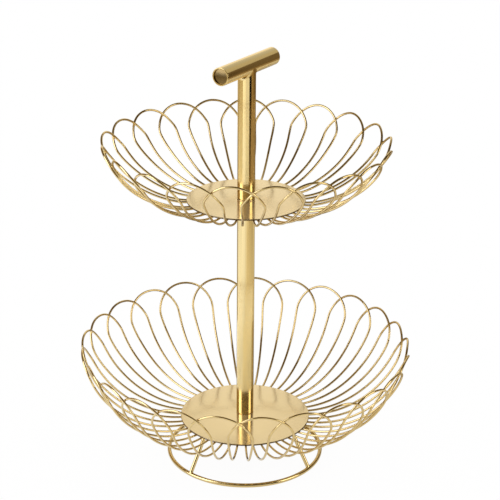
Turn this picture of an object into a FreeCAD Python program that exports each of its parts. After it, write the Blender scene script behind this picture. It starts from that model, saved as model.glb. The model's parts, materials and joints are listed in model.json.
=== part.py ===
"""Two-tier basket of bent wire petals on a screwed post with a T handle.

Millimetres and degrees. +Z is up and the origin is on the floor, under the middle of the post.
Each petal is one bent wire: two legs fan out from under a round plate, cross their neighbours near the
rim and close in a round tip. The upper post screws on to a stud and clamps the upper plate.
"""
import FreeCAD, Part
import math
import os
import re
import Sketcher

Vector = FreeCAD.Vector
UP = Vector(0, 0, 1)
doc = FreeCAD.newDocument("tiered_wire_basket")

# Driving sizes
SIZES = {
    # post, handle and the tube that both are cut from
    "tube_diameter": 16.0,
    "tube_wall": 1.2,
    "tube_rounding": 0.4,
    "foot_rounding": 0.9,
    "tier_rise": 212.9,
    "handle_rise": 121.1,
    "handle_length": 84.6,
    "handle_turn": 58.0,
    "cap_length": 6.0,
    "cap_inset": 0.8,
    # threaded pieces inside the post
    "insert_wall": 2.8,
    "insert_length": 16.0,
    "stud_foot": 12.0,
    "stud_head": 8.0,
    "washer_thickness": 0.6,
    "screw_length": 12.0,
    "screw_head_overhang": 2.5,
    "screw_head_height": 4.5,
    "screw_socket_width": 5.0,
    "screw_socket_depth": 3.0,
    # fits, all on the radius
    "press_clearance": 0.02,
    "thread_clearance": 0.05,
    "swivel_clearance": 0.1,
    "weld_gap": 0.02,
    # plates
    "plate_thickness": 1.2,
    "plate_rounding": 0.5,
    "seat_margin": 2.0,
    "lower_plate_top": 40.2,
    "lower_plate_crown": 2.8,
    "lower_plate_radius": 60.4,
    "upper_plate_radius": 53.2,
    # ring and legs under the lower plate
    "ring_radius": 71.6,
    "ring_wire": 3.8,
    "ring_flat": 0.25,
    "leg_wire": 3.6,
    "leg_margin": 8.9,
    "leg_turn": 46.0,
    "leg_spread_angle": 100.0,
    # petals
    "petal_wire": 2.0,
    "petal_root": 5.0,
    "lower_petals": 25,
    "lower_reach": 150.5,
    "lower_rise": 77.6,
    "lower_petal_width": 55.6,
    "lower_lip_angle": 82.6,
    "lower_lean_angle": 1.5,
    "lower_first_turn": 87.5,
    "upper_petals": 21,
    "upper_reach": 127.6,
    "upper_rise": 57.3,
    "upper_petal_width": 50.2,
    "upper_lip_angle": 74.4,
    "upper_lean_angle": 1.1,
    "upper_first_turn": 89.7,
    # uneven spacing of the welded petals: one and two swings in a round
    "lower_drift_angle": 1.43,
    "lower_drift_turn": 238.8,
    "lower_sway_angle": 0.34,
    "lower_sway_turn": 39.0,
    "upper_drift_angle": 1.73,
    "upper_drift_turn": 261.0,
    "upper_sway_angle": 3.22,
    "upper_sway_turn": 61.4,
    # how far a cutter runs past what it cuts
    "overrun": 2.0,
}

# Each petal leg leaves the plate this share of a petal spacing from the petal's middle
ROOT_SPREAD_SHARE = 0.75
# The side step at the crossings is full from this share of the half width outwards
FULL_STEP_SHARE = 0.6
# Places along half a petal: 2 at the plate, 1 at the widest place, 0 at the tip
STATION_SHARES = (2, 1.75, 1.5, 1.25, 1, 2 / 3, 1 / 3, 0)
# Bowl curve of each tier: flat start (of the run), upright end (of the rise), and along the curve the
# widest place of a petal, then how much of its widening is done half way there
CURVE_SHARES = {
    "lower": {"start_share": 0.58, "end_share": 0.45, "widest_share": 0.757, "middle_share": 0.59},
    "upper": {"start_share": 0.25, "end_share": 0.72, "widest_share": 0.789, "middle_share": 0.42},
}

# The stud fills what the tube's wall and the insert's wall leave
STUD_RADIUS = "(tube_diameter / 2 - tube_wall - insert_wall)"
# The lower plate is flat under the post and slopes down to its rim as part of a ball, whose middle lies
# this deep under the flat seat
SEAT_RADIUS = "(tube_diameter / 2 + seat_margin)"
BALL_DEPTH = (
    "(lower_plate_crown / 2 + (lower_plate_radius ^ 2 - %s ^ 2) / (2 * lower_plate_crown))" % SEAT_RADIUS
)
BALL_RADIUS = "sqrt(%s ^ 2 + %s ^ 2)" % (SEAT_RADIUS, BALL_DEPTH)

sheet = doc.addObject("Spreadsheet::Sheet", "sizes")
for row, (alias, number) in enumerate(SIZES.items(), start=1):
    sheet.set("A%d" % row, alias)
    sheet.set("B%d" % row, str(number))
    sheet.setAlias("B%d" % row, alias)
doc.recompute()
LINKS = {alias: "sizes." + alias for alias in SIZES}


def size(alias):
    """A driving size, read from the sheet."""
    return float(sheet.get(alias))


def bind(item, **formulas):
    """Ties properties of an object to formulas on the sheet's sizes, written by their names."""
    for name, formula in formulas.items():
        linked = re.sub("[a-z_]+", lambda word: LINKS.get(word[0], word[0]), formula)
        item.setExpression(name.replace("__", "."), linked)


def primitive(kind, name, height="0", **formulas):
    """A Part primitive with bound sizes, lifted to a bound height on the post's axis."""
    item = doc.addObject("Part::" + kind, name)
    bind(item, Placement__Base__z=height, **formulas)
    return item


def boolean(kind, name, base, tool):
    """A Part boolean of two objects."""
    item = doc.addObject("Part::" + kind, name)
    item.Base = base
    item.Tool = tool
    return item


def group(name, members):
    """Several separate solids kept as one object."""
    item = doc.addObject("Part::Compound", name)
    item.Links = members
    return item


def round_body(name, outer, inner, length, height="0", rounding=None, rims=()):
    """A turned or tubular piece: a ring between two radii, padded upwards, with some rims rounded."""
    body = doc.addObject("PartDesign::Body", name)
    sketch = body.newObject("Sketcher::SketchObject", name + "_section")
    plane = next(part for part in body.Origin.OriginFeatures if part.Role == "XY_Plane")
    sketch.AttachmentSupport = [(plane, "")]
    sketch.MapMode = "FlatFace"
    # both circles are drawn at one size, then their own formulas set them
    for label, radius in (("outer", outer), ("inner", inner)):
        circle = sketch.addGeometry(Part.Circle(Vector(), UP, size("tube_diameter")))
        sketch.addConstraint(Sketcher.Constraint("Coincident", circle, 3, -1, 1))
        place = sketch.addConstraint(Sketcher.Constraint("Radius", circle, size("tube_diameter")))
        sketch.renameConstraint(place, label)
        bind(sketch, **{"Constraints__" + label: radius})
    pad = body.newObject("PartDesign::Pad", name + "_pad")
    pad.Profile = sketch
    bind(pad, Length=length)
    if rims:
        doc.recompute()
        fillet = body.newObject("PartDesign::Fillet", name + "_edge")
        fillet.Base = (pad, [rim_name(pad.Shape, rim) for rim in rims])
        bind(fillet, Radius=rounding)
    bind(body, Placement__Base__z=height)
    return body


def rim_name(shape, rim):
    """The edge name of the outer circle at the foot or the top of a turned piece."""
    way = {"foot": -1, "top": 1}[rim]
    numbered = enumerate(shape.Edges, start=1)
    closed = [(edge, number) for number, edge in numbered if edge.isClosed()]
    outermost = max(closed, key=lambda item: item[0].Curve.Radius + way * item[0].CenterOfMass.z)
    return "Edge%d" % outermost[1]


def arc(start, corner, end):
    """The arc from start to end whose end tangents meet at the corner."""
    middle = (start + end) * 0.5
    half_chord = (end - start).Length / 2
    lift = corner - middle
    if lift.Length < half_chord * 1e-6:
        return Part.LineSegment(start, end).toShape()
    half_turn = math.atan2(lift.Length, half_chord) / 2
    crown = middle + lift * (half_chord * math.tan(half_turn) / lift.Length)
    return Part.Arc(start, crown, end).toShape()


def biarc(start, leave, end, arrive):
    """Two tangent arcs between two points with given directions."""
    chord = end - start
    both = leave + arrive
    bend = 2 * (1 - leave.dot(arrive))
    if bend < 1e-9:
        reach = chord.dot(chord) / (4 * chord.dot(arrive))
    else:
        reach = (math.sqrt(chord.dot(both) ** 2 + bend * chord.dot(chord)) - chord.dot(both)) / bend
    first = start + leave * reach
    second = end - arrive * reach
    joint = (first + second) * 0.5
    return [arc(start, first, joint), arc(joint, second, end)]


class PetalCurve:
    """Centreline of one petal of a tier, with the middle of its tip on +X."""

    def __init__(self, tier, plate_top):
        shares = CURVE_SHARES[tier]
        rise = size(tier + "_rise")
        lip = math.radians(size(tier + "_lip_angle"))
        self.edge = size(tier + "_plate_radius")
        self.reach = size(tier + "_reach")
        self.lean = math.radians(size(tier + "_lean_angle"))
        self.step = size("petal_wire") / 2
        self.widest_at = shares["widest_share"]
        self.widest = size(tier + "_petal_width") / 2
        self.root = self.edge * math.sin(ROOT_SPREAD_SHARE * 2 * math.pi / size(tier + "_petals"))
        self.middle = self.root + shares["middle_share"] * (self.widest - self.root)
        floor = plate_top - size("plate_thickness") - size("petal_wire") / 2 - size("weld_gap")
        flat = shares["start_share"] * (self.reach - self.edge)
        upright = shares["end_share"] * rise
        self.poles = (
            (self.edge, floor),
            (self.edge + flat, floor),
            (self.reach - upright * math.cos(lip), floor + rise - upright * math.sin(lip)),
            (self.reach, floor + rise),
        )

    def bowl(self, along):
        """Radius, height and their slopes on the bowl's curve, from 0 at the plate to 1 at the rim."""
        left = 1 - along
        weights = (left ** 3, 3 * left ** 2 * along, 3 * left * along ** 2, along ** 3)
        slopes = (3 * left ** 2, 6 * left * along, 3 * along ** 2)
        steps = [(b[0] - a[0], b[1] - a[1]) for a, b in zip(self.poles, self.poles[1:])]
        place = [sum(w * pole[i] for w, pole in zip(weights, self.poles)) for i in (0, 1)]
        slope = [sum(w * step[i] for w, step in zip(slopes, steps)) for i in (0, 1)]
        return place[0], place[1], slope[0], slope[1]

    def point(self, station):
        """A point of the centreline: stations from 2 (first root) over 0 (tip) to -2 (second root)."""
        side = 1 if station >= 0 else -1
        if abs(station) >= 1:
            done = 2 - abs(station)
            along = self.widest_at * done
            half = (
                self.root * (2 * done - 1) * (done - 1)
                + self.middle * 4 * done * (1 - done)
                + self.widest * done * (2 * done - 1)
            )
            shift = self.step * done ** 2
        else:
            turn = math.pi / 2 * abs(station)
            along = self.widest_at + (1 - self.widest_at) * math.cos(turn)
            half = self.widest * math.sin(turn)
            shift = self.step * math.sin(math.pi / 2 * min(math.sin(turn) / FULL_STEP_SHARE, 1))
        radius, height, out, up = self.bowl(along)
        slant = math.hypot(out, up)
        # the first leg passes outside the neighbour's second leg
        outer = radius + side * shift * up / slant
        height -= side * shift * out / slant
        angle = math.asin(side * half / outer) - self.lean * (self.reach - radius) / (self.reach - self.edge)
        return Vector(outer * math.cos(angle), outer * math.sin(angle), height)

    def direction(self, station):
        """Unit direction of the centreline, towards the second root."""
        nudge = 1e-4
        return (self.point(station - nudge) - self.point(station + nudge)).normalize()

    def wire(self):
        """The centreline as straight roots under the plate and tangent arcs between the stations."""
        stations = STATION_SHARES + tuple(-share for share in reversed(STATION_SHARES[:-1]))
        points = [self.point(station) for station in stations]
        ways = [self.direction(station) for station in stations]
        root = size("petal_root")
        edges = [Part.LineSegment(points[0] - ways[0] * root, points[0]).toShape()]
        for i in range(len(points) - 1):
            edges += biarc(points[i], ways[i], points[i + 1], ways[i + 1])
        edges.append(Part.LineSegment(points[-1], points[-1] + ways[-1] * root).toShape())
        return Part.Wire(edges)


def petal_ring(tier, plate_top):
    """The petals of one tier: one swept wire, copied round the post with the welder's uneven spacing."""
    path = doc.addObject("Part::Feature", tier + "_petal_path")
    path.Shape = PetalCurve(tier, plate_top).wire()
    section = doc.addObject("Part::Circle", tier + "_petal_section")
    bind(section, Radius="petal_wire / 2")
    start, second = (path.Shape.Edges[0].valueAt(at) for at in path.Shape.Edges[0].ParameterRange)
    section.Placement = FreeCAD.Placement(start, FreeCAD.Rotation(UP, second - start))
    sweep = doc.addObject("Part::Sweep", tier + "_petal_sweep")
    sweep.Sections = [section]
    sweep.Spine = (path, ["Edge%d" % number for number in range(1, len(path.Shape.Edges) + 1)])
    sweep.Solid = True
    sweep.Frenet = False
    doc.recompute()
    count = int(size(tier + "_petals"))
    petals = []
    for number in range(count):
        even = size(tier + "_first_turn") - 360 * number / count
        drift = math.cos(math.radians(even - size(tier + "_drift_turn")))
        sway = math.cos(2 * math.radians(even - size(tier + "_sway_turn")))
        turn = even + size(tier + "_drift_angle") * drift + size(tier + "_sway_angle") * sway
        petal = doc.addObject("Part::Feature", "%s_petal_%02d" % (tier, number + 1))
        petal.Shape = sweep.Shape
        petal.Placement = FreeCAD.Placement(Vector(), FreeCAD.Rotation(UP, turn))
        petals.append(petal)
    return petals


def base_frame(plate_hollow):
    """The ring on the floor, ground flat below, and the four slanted legs up into the plate's hollow."""
    ring_height = "ring_wire / 2 - ring_flat"
    wire = "ring_wire / 2"
    hoop = primitive("Torus", "ring_hoop", ring_height, Radius1="ring_radius", Radius2=wire)
    reach = "ring_radius + ring_wire"
    below = primitive("Cylinder", "ring_below", "-ring_wire", Radius=reach, Height="ring_wire")
    ring = boolean("Cut", "base_ring", hoop, below)

    under = size("lower_plate_top") - size("lower_plate_crown") - size("plate_thickness")
    foot_height = size("ring_wire") / 2 - size("ring_flat")
    lean_in = size("ring_radius") - (size("lower_plate_radius") - size("leg_margin"))
    slope = Vector(-lean_in, 0, under - foot_height)
    block = primitive(
        "Cylinder",
        "leg_block",
        "lower_plate_top - lower_plate_crown - plate_thickness * 2",
        Radius="lower_plate_radius",
        Height="lower_plate_top",
    )
    above = boolean("Cut", "leg_above", block, plate_hollow)
    first = size("leg_turn")
    spread = size("leg_spread_angle")
    legs = []
    for number, turn in enumerate((first, first + spread, first + 180, first + spread + 180), start=1):
        spin = FreeCAD.Rotation(UP, turn)
        rod = doc.addObject("Part::Cylinder", "leg_rod_%d" % number)
        bind(rod, Radius="leg_wire / 2")
        rod.Height = slope.Length + size("leg_wire") + size("overrun")
        foot = spin.multVec(Vector(size("ring_radius"), 0, foot_height))
        rod.Placement = FreeCAD.Placement(foot, FreeCAD.Rotation(UP, spin.multVec(slope)))
        trimmed = boolean("Cut", "leg_trimmed_%d" % number, rod, above)
        ring_space = primitive(
            "Torus",
            "leg_ring_space_%d" % number,
            ring_height,
            Radius1="ring_radius",
            Radius2=wire + " + weld_gap",
        )
        legs.append(boolean("Cut", "leg_%d" % number, trimmed, ring_space))
    return [ring, group("base_legs", legs)]


def base_screw():
    """The socket screw that holds the lower plate on the lower post."""
    under = "lower_plate_top - plate_thickness"
    shank = primitive(
        "Cylinder",
        "screw_shank",
        under + " - screw_head_height",
        Radius=STUD_RADIUS,
        Height="screw_head_height + plate_thickness + screw_length",
    )
    head = primitive(
        "Cylinder",
        "screw_head",
        under + " - screw_head_height",
        Radius=STUD_RADIUS + " + screw_head_overhang",
        Height="screw_head_height",
    )
    blank = boolean("Fuse", "screw_blank", shank, head)
    socket = primitive(
        "Prism",
        "screw_socket",
        under + " - screw_head_height - overrun",
        Polygon="6",
        Circumradius="screw_socket_width / sqrt(3)",
        Height="screw_socket_depth + overrun",
    )
    return boolean("Cut", "base_screw", blank, socket)


def posts():
    """The two tubes, the threaded pieces inside them and the washer between."""
    bore = "tube_diameter / 2 - tube_wall"
    plug = bore + " - press_clearance"
    thread = STUD_RADIUS + " + thread_clearance"
    lower_top = "lower_plate_top + tier_rise - plate_thickness"
    upper_foot = "lower_plate_top + tier_rise + washer_thickness"
    tube = "tube_diameter / 2"

    ends = ("foot", "top")
    lower_length = "tier_rise - plate_thickness"
    lower = round_body("lower_post", tube, bore, lower_length, "lower_plate_top", "foot_rounding", ends)
    foot_insert = round_body("foot_insert", plug, thread, "insert_length", "lower_plate_top")
    head_insert = round_body("head_insert", plug, thread, "insert_length", lower_top + " - insert_length")
    stud = primitive(
        "Cylinder",
        "joint_stud",
        lower_top + " - stud_foot",
        Radius=STUD_RADIUS,
        Height="stud_foot + plate_thickness + washer_thickness + stud_head",
    )
    washer = round_body(
        "post_washer",
        tube,
        STUD_RADIUS + " + swivel_clearance",
        "washer_thickness",
        "lower_plate_top + tier_rise",
    )
    upper_insert = round_body("upper_post_insert", plug, thread, "insert_length", upper_foot)
    upper_length = "handle_rise - washer_thickness"
    upper_tube = round_body("upper_tube", tube, bore, upper_length, upper_foot, "foot_rounding", ("foot",))
    saddle_length = "tube_diameter * 2"
    saddle = primitive("Cylinder", "saddle_space", Radius=tube + " + weld_gap", Height=saddle_length)
    lay(saddle, saddle_length)
    upper = boolean("Cut", "upper_post", upper_tube, saddle)
    inserts = group("lower_post_inserts", [foot_insert, head_insert])
    return [lower, inserts, stud, washer, upper_insert, upper]


def lay(piece, length, offset="0"):
    """Lays an upright piece of that length along the handle, its middle set off from the post."""
    turn = math.radians(size("handle_turn"))
    piece.Placement.Rotation = FreeCAD.Rotation(UP, Vector(math.cos(turn), math.sin(turn), 0))
    shift = "(%s - (%s) / 2)" % (offset, length)
    bind(
        piece,
        Placement__Base__x=shift + " * cos(handle_turn)",
        Placement__Base__y=shift + " * sin(handle_turn)",
        Placement__Base__z="lower_plate_top + tier_rise + handle_rise",
    )
    return piece


def handle():
    """The cross tube and its two inset end caps."""
    bore = "tube_diameter / 2 - tube_wall"
    length = "handle_length"
    ends = ("foot", "top")
    bar = round_body("handle_bar", "tube_diameter / 2", bore, length, rounding="tube_rounding", rims=ends)
    lay(bar, length)
    caps = []
    for name, side in (("near_cap", "-1"), ("far_cap", "1")):
        cap = primitive("Cylinder", name, Radius=bore + " - press_clearance", Height="cap_length")
        offset = side + " * (handle_length / 2 - cap_inset - cap_length / 2)"
        caps.append(lay(cap, "cap_length", offset))
    return [bar, group("handle_end_caps", caps)]


def crowned_plate(hole):
    """The lower plate, whose flat seat stands over its rim, and the hollow under it."""
    rim = "lower_plate_top - lower_plate_crown"
    blank = round_body(
        "plate_blank",
        "lower_plate_radius",
        hole,
        "lower_plate_crown + plate_thickness * 2",
        rim + " - plate_thickness * 2",
    )
    middle = "lower_plate_top - " + BALL_DEPTH
    outside = primitive("Sphere", "plate_outside", middle, Radius=BALL_RADIUS)
    inside = primitive("Sphere", "plate_inside", middle, Radius=BALL_RADIUS + " - plate_thickness")
    below = primitive(
        "Cylinder",
        "plate_below",
        rim + " - plate_thickness * 3",
        Radius="lower_plate_radius + overrun",
        Height="lower_plate_crown + plate_thickness * 2",
    )
    hollow = boolean("Common", "plate_hollow", inside, below)
    domed = boolean("Common", "plate_domed", blank, outside)
    shell = boolean("Cut", "plate_shell", domed, hollow)
    doc.recompute()
    plate = doc.addObject("Part::Fillet", "lower_plate")
    plate.Base = shell
    edge = int(rim_name(shell.Shape, "top").removeprefix("Edge"))
    plate.Edges = [(edge, size("plate_rounding"), size("plate_rounding"))]
    return plate, hollow


def flat_plate(hole):
    """The upper plate, a flat disc that turns round the stud."""
    height = "lower_plate_top + tier_rise - plate_thickness"
    radius = "upper_plate_radius"
    return round_body("upper_plate", radius, hole, "plate_thickness", height, "plate_rounding", ("top",))


plate_hole = STUD_RADIUS + " + swivel_clearance"
lower_plate, plate_hollow = crowned_plate(plate_hole)
pieces = [lower_plate, flat_plate(plate_hole)]
pieces += base_frame(plate_hollow) + [base_screw()] + posts() + handle()
pieces += petal_ring("lower", size("lower_plate_top") - size("lower_plate_crown"))
pieces += petal_ring("upper", size("lower_plate_top") + size("tier_rise"))
doc.recompute()

for item in doc.Objects:
    if "Invalid" in item.State or "Error" in item.State:
        raise RuntimeError("%s failed: %s" % (item.Label, item.State))
for piece in pieces:
    if piece.Shape.isNull() or not piece.Shape.isValid() or not piece.Shape.Solids:
        raise RuntimeError("%s has no valid solid" % piece.Label)

os.makedirs("parts", exist_ok=True)
for piece in pieces:
    piece.Shape.exportStep("parts/%s.step" % piece.Label)
    print("%-20s %d solid(s) %10.1f mm3" % (piece.Label, len(piece.Shape.Solids), piece.Shape.Volume))
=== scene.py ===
"""Looks of a tiered wire basket: gold-coloured plating on wire, sheet and tube, in a white studio.

Metres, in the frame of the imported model: +Z is up and the origin is on the floor under the post.
"""
import json
import math

import bmesh
import bpy
import numpy as np
from mathutils import Matrix, Vector, geometry, kdtree


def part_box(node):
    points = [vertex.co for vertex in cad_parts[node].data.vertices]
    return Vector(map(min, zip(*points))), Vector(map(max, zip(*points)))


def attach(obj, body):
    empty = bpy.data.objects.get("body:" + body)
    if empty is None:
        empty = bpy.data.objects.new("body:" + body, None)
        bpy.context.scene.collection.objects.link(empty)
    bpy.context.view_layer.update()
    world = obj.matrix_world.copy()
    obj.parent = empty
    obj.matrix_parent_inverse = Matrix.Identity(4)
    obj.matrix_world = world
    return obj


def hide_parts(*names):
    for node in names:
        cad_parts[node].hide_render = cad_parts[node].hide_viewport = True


MM = 0.001
SHARP_ANGLE = math.radians(50)
DOWN = Vector((0, 0, -1))
# A Mix node has sockets for numbers and vectors before those for colours
MIX_COLOUR_SOCKETS = (6, 7)
MIX_COLOUR_OUTPUT = 2
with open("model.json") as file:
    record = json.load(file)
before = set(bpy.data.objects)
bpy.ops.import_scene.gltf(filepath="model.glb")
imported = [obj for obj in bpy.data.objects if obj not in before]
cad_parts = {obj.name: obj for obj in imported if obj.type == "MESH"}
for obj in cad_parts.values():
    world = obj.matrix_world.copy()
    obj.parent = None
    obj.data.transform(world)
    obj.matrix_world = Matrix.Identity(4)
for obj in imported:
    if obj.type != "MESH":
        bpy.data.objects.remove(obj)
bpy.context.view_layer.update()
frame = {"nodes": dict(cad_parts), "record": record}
nodes = frame["nodes"]


class Value:
    """A node's output that Python operators work on: each operator adds a Math node."""

    def __init__(self, shader, socket):
        self.shader = shader
        self.socket = socket

    def maths(self, operation, *others):
        """A Math node with this value first."""
        return self.shader.add("Math", {"operation": operation}, dict(enumerate((self, *others))))

    def __add__(self, other):
        return self.maths("ADD", other)

    def __mul__(self, other):
        return self.maths("MULTIPLY", other)

    __radd__ = __add__
    __rmul__ = __mul__


class Shader:
    """The node tree of one material, built from nothing."""

    def __init__(self, name):
        self.material = bpy.data.materials.new(name)
        self.material.use_nodes = True
        self.tree = self.material.node_tree
        self.tree.nodes.clear()

    def add(self, kind, settings=None, sockets=None, output=0):
        """Adds a node: its settings first, then values or links for its sockets. Gives one output."""
        node = self.tree.nodes.new("ShaderNode" + kind)
        for name, setting in (settings or {}).items():
            setattr(node, name, setting)
        for name, value in (sockets or {}).items():
            if isinstance(value, Value):
                self.tree.links.new(value.socket, node.inputs[name])
            else:
                node.inputs[name].default_value = value
        return Value(self, node.outputs[output]) if node.outputs else None

    def noise(self, per_metre, detail=2):
        """Smooth noise from 0 to 1 with so many grains in a metre."""
        spot = self.add("NewGeometry", output="Position")
        return self.add("TexNoise", sockets={"Vector": spot, "Scale": per_metre, "Detail": detail})

    def mix(self, share, first, second):
        """A colour between two colours, each given by its parts or as a node's output."""
        sockets = {"Factor": share}
        for number, colour in zip(MIX_COLOUR_SOCKETS, (first, second)):
            sockets[number] = colour if isinstance(colour, Value) else (*colour, 1)
        return self.add("Mix", {"data_type": "RGBA"}, sockets, output=MIX_COLOUR_OUTPUT)

    def finish(self, surface):
        """Joins the surface to the material's output."""
        self.add("OutputMaterial", sockets={"Surface": surface})
        return self.material


# Finishes

PALE_GOLD = (0.83, 0.64, 0.30)
DEEP_GOLD = (0.79, 0.60, 0.26)
PALE_WIRE = (0.76, 0.58, 0.28)
DEEP_WIRE = (0.67, 0.50, 0.22)
PALE_SATIN = (0.80, 0.66, 0.41)
DEEP_SATIN = (0.77, 0.63, 0.38)
# Painted shade: dark brown that the plates' upright cut edges get in place of their shadow
PAINTED_EDGE_SHADE = (0.12, 0.07, 0.02)
CAP_BROWN = (0.22, 0.15, 0.06)
CAP_DARK = (0.15, 0.10, 0.04)
ZINC = (0.72, 0.59, 0.34)
DULL_ZINC = (0.58, 0.46, 0.25)
CLOUD_DETAIL = 3
SHEET_CLOUDS = 45
SHEET_GRAINS = 300
SHEET_ROUGHNESS = (0.13, 0.17)
SHEET_METAL_SHARE = 0.84
POLISH_DEPTH = 0.0005 * MM
CAP_DEPTH = 0.001 * MM
STEEL_DEPTH = 0.003 * MM


def metal(name, colours, clouds, grains, roughness, depth):
    """A metal finish: two tones in slow clouds, and fine grains in its polish and its surface.

    Clouds and grains are counted in a metre. Roughness goes from smooth to rough."""
    shader = Shader(name)
    polish = shader.noise(grains)
    smooth, rough = roughness
    sockets = {
        "Base Color": shader.mix(shader.noise(clouds, CLOUD_DETAIL), *colours),
        "Metallic": 1,
        "Roughness": smooth + (rough - smooth) * polish,
        "Normal": shader.add("Bump", sockets={"Height": polish, "Distance": depth, "Strength": 1}),
    }
    return shader.finish(shader.add("BsdfPrincipled", sockets=sockets))


def satin_sheet():
    """The plates' finish: satin, so partly dull, with painted shade on its upright cut edges."""
    shader = Shader("satin_sheet")
    normal = shader.add("NewGeometry", output="Normal")
    facing = shader.add("SeparateXYZ", sockets={0: normal}, output="Z")
    satin = shader.mix(shader.noise(SHEET_CLOUDS, CLOUD_DETAIL), DEEP_SATIN, PALE_SATIN)
    smooth, rough = SHEET_ROUGHNESS
    # Painted shade: the colour turns dark brown where the surface stands upright, on the plates' cut edges
    sockets = {
        "Base Color": shader.mix(facing * facing, PAINTED_EDGE_SHADE, satin),
        "Metallic": SHEET_METAL_SHARE,
        "Roughness": smooth + (rough - smooth) * shader.noise(SHEET_GRAINS),
    }
    return shader.finish(shader.add("BsdfPrincipled", sockets=sockets))


def finishes():
    """One finish for each material slot of the record."""
    wire = metal(
        "plated_wire",
        (DEEP_WIRE, PALE_WIRE),
        clouds=40,
        grains=400,
        roughness=(0.10, 0.14),
        depth=POLISH_DEPTH,
    )
    upper_tube = metal(
        "upper_tube",
        (DEEP_GOLD, PALE_GOLD),
        clouds=25,
        grains=150,
        roughness=(0.11, 0.14),
        depth=POLISH_DEPTH,
    )
    lower_tube = metal(
        "lower_tube",
        (DEEP_GOLD, PALE_GOLD),
        clouds=25,
        grains=150,
        roughness=(0.10, 0.13),
        depth=POLISH_DEPTH,
    )
    cap = metal(
        "dark_cap",
        (CAP_DARK, CAP_BROWN),
        clouds=150,
        grains=800,
        roughness=(0.13, 0.18),
        depth=CAP_DEPTH,
    )
    steel = metal(
        "zinc_steel",
        (DULL_ZINC, ZINC),
        clouds=90,
        grains=700,
        roughness=(0.25, 0.4),
        depth=STEEL_DEPTH,
    )
    return {
        "petal_wire": wire,
        "base_wire": wire,
        "plate": satin_sheet(),
        "lower_tube": lower_tube,
        "upper_tube": upper_tube,
        "end_cap": cap,
        "insert": steel,
        "fastener": steel,
    }


def dress_nodes():
    """Gives every CAD node the finish of its material slot."""
    for subpart in frame["record"]["subparts"]:
        piece = nodes[subpart["node"]]
        piece.data.materials.clear()
        piece.data.materials.append(finish_of[subpart["material_slot"]])


# Meshes

def mesh_object(name, points, faces, material):
    """A smooth mesh object from points and faces."""
    mesh = bpy.data.meshes.new(name)
    mesh.from_pydata(points, [], faces)
    mesh.materials.append(material)
    work = bmesh.new()
    work.from_mesh(mesh)
    bmesh.ops.recalc_face_normals(work, faces=work.faces)
    work.to_mesh(mesh)
    work.free()
    mesh.shade_smooth()
    mesh.set_sharp_from_angle(angle=SHARP_ANGLE)
    piece = bpy.data.objects.new(name, mesh)
    bpy.context.scene.collection.objects.link(piece)
    return piece


def add_piece(name, shapes, body, slot):
    """One piece of the object from several closed shapes, moving with a body."""
    points, faces = [], []
    for shape_points, shape_faces in shapes:
        start = len(points)
        points += [tuple(point) for point in shape_points]
        faces += [tuple(start + corner for corner in face) for face in shape_faces]
    piece = mesh_object(name, points, faces, finish_of[slot])
    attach(piece, body)
    return piece


def grid_faces(rows, columns, closed_rows=False, closed_columns=False):
    """Four-sided faces between the points of a grid, listed row by row."""
    faces = []
    for row in range(rows if closed_rows else rows - 1):
        for column in range(columns if closed_columns else columns - 1):
            below, above = row * columns, (row + 1) % rows * columns
            beside = (column + 1) % columns
            faces.append((below + column, below + beside, above + beside, above + column))
    return faces


def turned(profile, start, way, count=48):
    """A closed turned shape: (radius, distance along the way) points turned round the way's line."""
    side = way.orthogonal().normalized()
    across = way.cross(side)
    points = []
    for radius, along in profile:
        for step in range(count):
            turn = 2 * math.pi * step / count
            points.append(start + way * along + (side * math.cos(turn) + across * math.sin(turn)) * radius)
    faces = grid_faces(len(profile), count, closed_columns=True)
    faces.append(tuple(reversed(range(count))))
    faces.append(tuple(range(len(points) - count, len(points))))
    return points, faces


def node_points(name):
    """The corners of a node's mesh."""
    mesh = nodes[name].data
    flat = np.empty(len(mesh.vertices) * 3)
    mesh.vertices.foreach_get("co", flat)
    return flat.reshape(-1, 3)


def line_through(points):
    """The middle and the main direction of some points."""
    middle = points.mean(axis=0)
    way = np.linalg.svd(points - middle, full_matrices=False)[2][0]
    return Vector(middle), Vector(way)


def near(points, spot, reach):
    """Those points that lie within reach of a spot."""
    return points[np.linalg.norm(points - np.array(spot), axis=1) < reach]


# Welds

CROSSING_REACH = 5 * MM
BEAD_RADIUS = 1.15 * MM
BEAD_HEIGHT = 0.62 * MM
ROOT_BEAD_LENGTH = 2.6 * MM
ROOT_BEAD_WIDTH = 1.7 * MM
ROOT_BEAD_HEIGHT = 0.8 * MM
LEG_WELD = 1.1 * MM
HANDLE_WELD = 3.2 * MM
WELD_ROOT_SHARE = 0.2


def bead(middle, normal, long_way, length, width, height):
    """A weld bead like a lens: longest along one way, thin along its normal."""
    normal = normal.normalized()
    long_way = (long_way - normal * long_way.dot(normal)).normalized()
    wide_way = normal.cross(long_way)
    rings, count = 7, 20
    points = []
    for ring in range(1, rings):
        lift = math.pi * ring / rings
        for step in range(count):
            turn = 2 * math.pi * step / count
            flat = long_way * (length * math.cos(turn)) + wide_way * (width * math.sin(turn))
            points.append(middle + flat * math.sin(lift) + normal * (height * math.cos(lift)))
    faces = grid_faces(rings - 1, count, closed_columns=True)
    ends = len(points)
    points += [middle + normal * height, middle - normal * height]
    last = (rings - 2) * count
    for step in range(count):
        beside = (step + 1) % count
        faces.append((ends, beside, step))
        faces.append((ends + 1, last + step, last + beside))
    return points, [tuple(reversed(face)) for face in faces]


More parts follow.
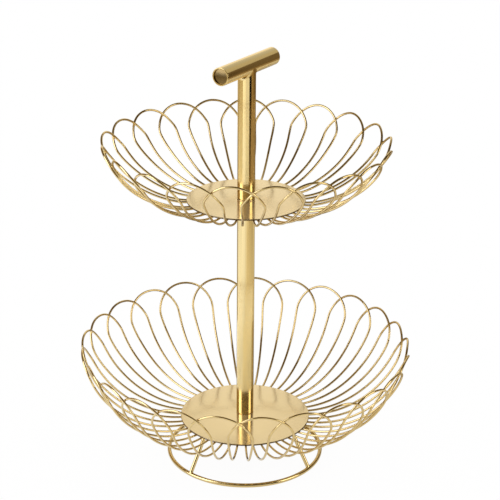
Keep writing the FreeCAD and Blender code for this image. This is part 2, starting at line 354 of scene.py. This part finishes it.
def crossing_bead(first, second):
    """The bead where two neighbouring petals cross near the rim."""
    tree = kdtree.KDTree(len(second))
    for number, point in enumerate(second):
        tree.insert(point, number)
    tree.balance()
    gaps = [tree.find(point)[2] for point in first]
    spot = first[int(np.argmin(gaps))]
    middle_a, way_a = line_through(near(first, spot, CROSSING_REACH))
    middle_b, way_b = line_through(near(second, spot, CROSSING_REACH))
    on_a, on_b = geometry.intersect_line_line(middle_a, middle_a + way_a, middle_b, middle_b + way_b)
    if way_a.dot(way_b) < 0:
        way_b.negate()
    length = BEAD_RADIUS * (1 + way_a.dot(way_b))
    return bead((on_a + on_b) / 2, on_b - on_a, way_a + way_b, length, BEAD_RADIUS, BEAD_HEIGHT)


def root_beads(points, plate):
    """The beads that hold a petal's two roots under the plate."""
    low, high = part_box(plate)
    edge = (high[0] - low[0]) / 2
    inside = points[np.hypot(points[:, 0], points[:, 1]) < edge - ROOT_BEAD_WIDTH]
    middle = points.mean(axis=0)
    side = inside[:, 0] * middle[1] - inside[:, 1] * middle[0]
    beads = []
    for root in (inside[side < 0], inside[side > 0]):
        spot, way = line_through(root)
        spot.z = low[2]
        beads.append(bead(spot, DOWN, way, ROOT_BEAD_LENGTH, ROOT_BEAD_WIDTH, ROOT_BEAD_HEIGHT))
    return beads


def petal_welds():
    """Beads at every crossing and every root of both tiers."""
    for tier, body in (("lower", "lower_stage"), ("upper", "upper_tray")):
        names = sorted(name for name in nodes if name.startswith(tier + "_petal"))
        wires = [node_points(name) for name in names]
        shapes = [crossing_bead(wire, wires[number - 1]) for number, wire in enumerate(wires)]
        add_piece(tier + "_crossing_welds", shapes, body, "petal_wire")
        shapes = [shape for wire in wires for shape in root_beads(wire, tier + "_plate")]
        add_piece(tier + "_root_welds", shapes, body, "petal_wire")


class RoundFace:
    """The outside of a round bar or tube, as a face that welds lie on."""

    def __init__(self, point, axis, radius):
        self.point = point
        self.axis = axis
        self.radius = radius

    def off_axis(self, spot):
        """The part of a spot's place that is square to the axis."""
        away = spot - self.point
        return away - self.axis * away.dot(self.axis)

    def normal(self, spot):
        """The way out of the face near a spot."""
        return self.off_axis(spot).normalized()

    def nearest(self, spot):
        """The face's nearest place to a spot."""
        away = self.off_axis(spot)
        return spot - away + away.normalized() * self.radius

    def hit(self, start, way):
        """Where a line leaves the face."""
        away = self.off_axis(start)
        across = way - self.axis * way.dot(self.axis)
        square, slope = across.dot(across), away.dot(across)
        inside = slope ** 2 - square * (away.dot(away) - self.radius ** 2)
        return start + way * ((math.sqrt(max(inside, 0)) - slope) / square)


class FlatFace:
    """A flat face that welds lie on."""

    def __init__(self, point, facing):
        self.point = point
        self.facing = facing

    def normal(self, spot):
        """The way out of the face."""
        return self.facing

    def nearest(self, spot):
        """The face's nearest place to a spot."""
        return spot - self.facing * (spot - self.point).dot(self.facing)

    def hit(self, start, way):
        """Where a line meets the face."""
        return start + way * ((self.point - start).dot(self.facing) / way.dot(self.facing))


def round_face(points):
    """The round face of a straight bar or tube from the corners of its mesh."""
    middle, way = line_through(points)
    places = [Vector(point) - middle for point in points]
    side = way.orthogonal().normalized()
    radius = 0
    for across in (side, way.cross(side)):
        spans = [place.dot(across) for place in places]
        middle = middle + across * (max(spans) + min(spans)) / 2
        radius = (max(spans) - min(spans)) / 2
    return RoundFace(middle, way, radius)


def weld_fillet(stem, way, target, size):
    """A hollow weld all round a bar that runs along the way from its target."""
    side = way.orthogonal().normalized()
    across = way.cross(side)
    count, curve = 120, 10
    points = []
    for step in range(count):
        turn = 2 * math.pi * step / count
        outward = side * math.cos(turn) + across * math.sin(turn)
        corner = target.hit(stem.point + outward * stem.radius, way)
        seam = outward.cross(target.normal(corner))
        ends = []
        for face, lead in ((stem, way), (target, outward)):
            along = face.normal(corner).cross(seam)
            along = along if along.dot(lead) > 0 else -along
            ends.append(face.nearest(corner + along * size))
        for place in range(curve):
            share = place / (curve - 1)
            bend = corner * (2 * share * (1 - share))
            points.append(ends[0] * (1 - share) ** 2 + bend + ends[1] * share ** 2)
        points.append(corner - (outward + target.normal(corner)) * (WELD_ROOT_SHARE * size))
    return points, grid_faces(count, curve + 1, closed_rows=True, closed_columns=True)


def base_welds():
    """Welds where the legs meet the ring and the plate."""
    corners = node_points("base_legs")
    plate = FlatFace(Vector((0, 0, corners[:, 2].max())), DOWN)
    ring = node_points("base_ring")
    ring_reach = np.hypot(ring[:, 0], ring[:, 1])
    ring_radius = (ring_reach.max() + ring_reach.min()) / 2
    wire_radius = (ring_reach.max() - ring_reach.min()) / 2
    ring_height = ring[:, 2].max() - wire_radius
    shapes = []
    for x_side in (1, -1):
        for y_side in (1, -1):
            leg = round_face(corners[(corners[:, 0] * x_side > 0) & (corners[:, 1] * y_side > 0)])
            up = leg.axis if leg.axis.z > 0 else -leg.axis
            out = Vector((leg.point.x, leg.point.y, 0)).normalized()
            wire = RoundFace(out * ring_radius - DOWN * ring_height, out.cross(DOWN), wire_radius)
            shapes.append(weld_fillet(leg, up, wire, LEG_WELD))
            shapes.append(weld_fillet(leg, -up, plate, LEG_WELD))
    add_piece("base_welds", shapes, "lower_stage", "base_wire")


# Handle and stud

CAP_DOME = 0.4 * MM
CAP_EDGE = 0.4 * MM
THREAD_PITCH = 1.25 * MM
THREAD_DEPTH = 0.70 * MM
THREAD_CHAMFER = 0.9 * MM


def handle_pieces():
    """The weld under the handle bar, and the domed caps in its ends."""
    bar = round_face(node_points("handle_bar"))
    low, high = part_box("upper_post")
    post = RoundFace(Vector((0, 0, bar.point.z)), DOWN, (high[0] - low[0]) / 2)
    add_piece("handle_weld", [weld_fillet(post, DOWN, bar, HANDLE_WELD)], "handle", "upper_tube")
    corners = [Vector(corner) - bar.point for corner in node_points("handle_end_caps")]
    spans = [abs(corner.dot(bar.axis)) for corner in corners]
    radius = max((corner - bar.axis * corner.dot(bar.axis)).length for corner in corners)
    inner, outer = min(spans), max(spans)
    rim = outer - CAP_DOME
    profile = [(radius - CAP_EDGE, inner), (radius, inner + CAP_EDGE), (radius, rim - CAP_EDGE)]
    rounds = 5
    for step in range(1, rounds + 1):
        turn = math.pi / 2 * step / rounds
        drop = CAP_EDGE * (1 - math.sin(turn))
        profile.append((radius - CAP_EDGE * (1 - math.cos(turn)), rim - drop))
    face = radius - CAP_EDGE
    rings = 12
    for step in range(1, rings):
        share = 1 - step / rings
        profile.append((face * share, rim + CAP_DOME * (1 - share ** 2)))
    shapes = [turned(profile, bar.point, way) for way in (bar.axis, -bar.axis)]
    caps = add_piece("domed_caps", shapes, "handle", "end_cap")
    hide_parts("handle_end_caps")


def threaded_stud():
    """The stud with its right-hand thread."""
    low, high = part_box("joint_stud")
    length = high[2] - low[2]
    crest = (high[0] - low[0]) / 2
    count, per_turn = 48, 12
    rows = int(length / THREAD_PITCH * per_turn) + 1
    points = []
    for row in range(rows):
        along = length * row / (rows - 1)
        end = min(along, length - along)
        for step in range(count):
            share = step / count
            wave = abs(2 * ((along / THREAD_PITCH - share) % 1) - 1)
            depth = max(THREAD_DEPTH * (1 - wave), THREAD_CHAMFER - end)
            turn = 2 * math.pi * share
            radius = crest - depth
            points.append((radius * math.cos(turn), radius * math.sin(turn), low[2] + along))
    faces = grid_faces(rows, count, closed_columns=True)
    faces.append(tuple(reversed(range(count))))
    faces.append(tuple(range(len(points) - count, len(points))))
    stud = add_piece("threaded_stud", [(points, faces)], "lower_stage", "fastener")
    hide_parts("joint_stud")


# Studio

FLOOR_RADIUS = 3.0
FLOOR_GLOW_SHARE = 0.95
DOME_RADIUS = 1.0
CARD_LIFT = 0.4 * MM
CARD_STEP = 4
WHITE = (1, 1, 1)
COOL = (0.97, 1.02, 1.15)
PALE = (1, 0.98, 0.92)
WARM = (1, 0.92, 0.75)
TAN = (1, 0.84, 0.55)
UMBER = (1, 0.74, 0.43)
BROWN = (1, 0.65, 0.25)
# Each card's name, turns, rises or reaches, tones and tint
DOME_CARDS = (
    ("front_horizon", (-48, -8), (0, 9), (1.5, 1.2), WHITE),
    ("front_dark", (-42, 52), (9, 28), (0.08, 0.0), BROWN),
    ("front_middle", (-42, 52), (28, 42), (0.45, 0.15), TAN),
    ("front_high", (-30, 40), (42, 65), (0.08, 0.08), BROWN),
    ("top", (-180, 180), (65, 90), (0.12, 0.12), TAN),
    ("left_box", (-88, -52), (13, 62), (3.4, 3.4), COOL),
    ("left_shoulder", (-52, -42), (28, 50), (3.0, 1.2), COOL),
    ("left_box_foot", (-88, -52), (9, 13), (1.5, 1.0), COOL),
    ("left_under_shoulder", (-52, -42), (9, 28), (1.6, 0.4), COOL),
    ("left_foot", (-110, -48), (0, 2.5), (0.9, 0.95, 0.8, 0.8), WARM),
    ("left_low", (-110, -48), (2.5, 9), (0.75, 0.78, 0.4, 0.4), TAN),
    ("left_back_low", (-180, -110), (0, 9), (1.0, 0.4), TAN),
    ("left_back", (-150, -88), (9, 44), (0.4, 0.25), BROWN),
    ("back_left", (-180, -150), (9, 44), (1.1, 0.8), WARM),
    ("left_back_high", (-180, -88), (44, 65), (0.12, 0.12), TAN),
    ("right_box", (52, 82), (13, 44), (3.0, 3.0), PALE),
    ("right_box_high", (40, 90), (44, 65), (0.3, 0.2), TAN),
    ("right_under_box", (52, 82), (9, 13), (0.02, 0.1), BROWN),
    ("right_streak_foot", (35, 62), (0, 3), (0.0, 0.02), BROWN),
    ("right_streak", (35, 66), (3, 9), (0.0, 0.0), BROWN),
    ("right_foot", (62, 135), (0, 3), (0.4, 0.4), UMBER),
    ("right_low", (66, 95), (3, 9), (0.35, 0.3), BROWN),
    ("right_low_back", (95, 135), (3, 9), (0.2, 0.13), BROWN),
    ("right_dark", (82, 112), (9, 48), (0.04, 0.1), BROWN),
    ("right_dark_back", (112, 142), (9, 41), (0.18, 0.2), UMBER),
    ("back_low", (135, 180), (0, 9), (0.3, 0.05), BROWN),
    ("back", (142, 180), (9, 44), (0.6, 1.1), WARM),
    ("back_high", (142, 180), (44, 65), (0.6, 0.75, 0.5, 0.55), PALE),
    ("back_side_high", (112, 142), (41, 65), (0.55, 0.6), WARM),
    ("back_right_high", (90, 112), (48, 65), (0.02, 0.06), BROWN),
)
FLOOR_CARDS = (
    ("floor_under_left", (-150, -30), (0, 0.3), (0.75, 0.75, 1.4, 1.15), COOL),
    ("floor_under_front", (-30, 90), (0, 0.3), (0.75, 0.6, 1.05, 1.0), PALE),
    ("floor_under_back", (90, 210), (0, 0.3), (0.25, 0.05, 0.6, 0.1), TAN),
    ("floor_left", (-120, -50), (0.3, 0.75), (1.35, 1.25, 1.0, 1.1), COOL),
    ("floor_far_left", (-120, -50), (0.75, 1.0), (1.0, 1.05, 0.9, 0.95), WARM),
    ("floor_front", (-50, -8), (0.3, 1.0), (1.2, 1.0, 1.45, 1.35), COOL),
    ("floor_left_back", (-180, -120), (0.3, 1.0), (0.15, 0.7, 0.3, 0.5), WARM),
    ("floor_right", (10, 105), (0.4, 0.65), (0.9, 0.7, 0.85, 0.5), WARM),
    ("floor_back", (105, 180), (0.3, 0.65), (0.8, 0.35), WARM),
    ("floor_streak", (34, 58), (0.65, 1.0), (0.32, 0.4, 0.0, 0.02), BROWN),
    ("floor_far_right", (58, 105), (0.65, 1.0), (0.45, 0.42), UMBER),
    ("floor_far_back", (105, 180), (0.65, 0.76), (0.95, 0.4), WARM),
    ("floor_edge_back", (105, 180), (0.76, 1.0), (0.28, 0.35), UMBER),
)


def floor_white():
    """Floor that looks white and keeps a faint shadow of what stands on it."""
    shader = Shader("floor_white")
    lit = shader.add("BsdfDiffuse", sockets={"Color": (1, 1, 1, 1)})
    bright = shader.add("Emission", sockets={"Color": (1, 1, 1, 1), "Strength": 1})
    return shader.finish(shader.add("MixShader", sockets={0: FLOOR_GLOW_SHARE, 1: lit, 2: bright}))


def card_glow():
    """The glow of every studio card, from the tone that its corners carry."""
    shader = Shader("card_glow")
    tone = shader.add("Attribute", {"attribute_name": "tone"}, output="Color")
    return shader.finish(shader.add("Emission", sockets={"Color": tone, "Strength": 1}))


def floor():
    """Plain round floor."""
    count = 96
    turns = [2 * math.pi * step / count for step in range(count)]
    points = [(FLOOR_RADIUS * math.cos(turn), FLOOR_RADIUS * math.sin(turn), 0) for turn in turns]
    mesh_object("floor", points, [tuple(range(count))], floor_white())


def card(name, place, turns, spans, tones, tint):
    """A card round the object that only its reflections show.

    Turns are in degrees from the camera's side, positive to its right. Spans are what the place
    function takes besides a turn. Tones are those of the first and the last turn at the first
    span, and then, where they differ, at the last span."""
    columns = max(2, int((turns[1] - turns[0]) / CARD_STEP)) + 1
    rows = 6
    points, colours = [], []
    for row in range(rows):
        up = row / (rows - 1)
        start, end = (low + (high - low) * up for low, high in zip(tones[:2], tones[-2:]))
        for column in range(columns):
            along = column / (columns - 1)
            turn = math.radians(turns[0] + (turns[1] - turns[0]) * along)
            points.append(place(turn, spans[0] + (spans[1] - spans[0]) * up))
            tone = start + (end - start) * along
            colours += [*(tone * part for part in tint), 1]
    piece = mesh_object(name, points, grid_faces(rows, columns), glow)
    piece.data.attributes.new("tone", "FLOAT_COLOR", "POINT").data.foreach_set("color", colours)
    piece.visible_camera = False
    piece.visible_diffuse = False
    piece.visible_shadow = False
    piece.visible_transmission = False


def on_dome(turn, rise):
    """A place on the dome round the object."""
    lift = math.radians(rise)
    flat = DOME_RADIUS * math.cos(lift)
    return flat * math.sin(turn), -flat * math.cos(turn), DOME_RADIUS * math.sin(lift)


def on_floor(turn, reach):
    """A place just over the floor."""
    return reach * math.sin(turn), -reach * math.cos(turn), CARD_LIFT


def studio():
    """White surroundings, with cards that give the polished metal its dark and bright bands."""
    world = bpy.data.worlds.new("white")
    world.use_nodes = True
    world.node_tree.nodes["Background"].inputs["Color"].default_value = (1, 1, 1, 1)
    bpy.context.scene.world = world
    floor()
    for place, cards in ((on_dome, DOME_CARDS), (on_floor, FLOOR_CARDS)):
        for name, *values in cards:
            card(name, place, *values)


# Camera

FRAME_PIXELS = 500
FOCAL_PIXELS = 1503.45
CAMERA_PLACE = (0, -1.26067, 0.70887)
CAMERA_DOWN = 21.840
CAMERA_ASIDE = 0.1705
CAMERA_ROLL = 0.3998


def camera():
    """The camera, where the plates' ellipses, the rims and the post say it stood."""
    data = bpy.data.cameras.new("camera")
    data.lens = data.sensor_width * FOCAL_PIXELS / FRAME_PIXELS
    piece = bpy.data.objects.new("camera", data)
    bpy.context.scene.collection.objects.link(piece)
    down, aside, roll = (math.radians(angle) for angle in (CAMERA_DOWN, CAMERA_ASIDE, CAMERA_ROLL))
    look = Vector((math.sin(aside) * math.cos(down), math.cos(aside) * math.cos(down), -math.sin(down)))
    right = Vector((math.cos(aside), -math.sin(aside), 0))
    up = right.cross(look)
    across = right * math.cos(roll) + up * math.sin(roll)
    upright = up * math.cos(roll) - right * math.sin(roll)
    turn = Matrix((across, upright, -look)).transposed().to_4x4()
    piece.matrix_world = Matrix.Translation(CAMERA_PLACE) @ turn
    bpy.context.scene.camera = piece


finish_of = finishes()
glow = card_glow()
dress_nodes()
petal_welds()
base_welds()
handle_pieces()
threaded_stud()
studio()
camera()
bpy.context.scene.view_settings.view_transform = "Standard"
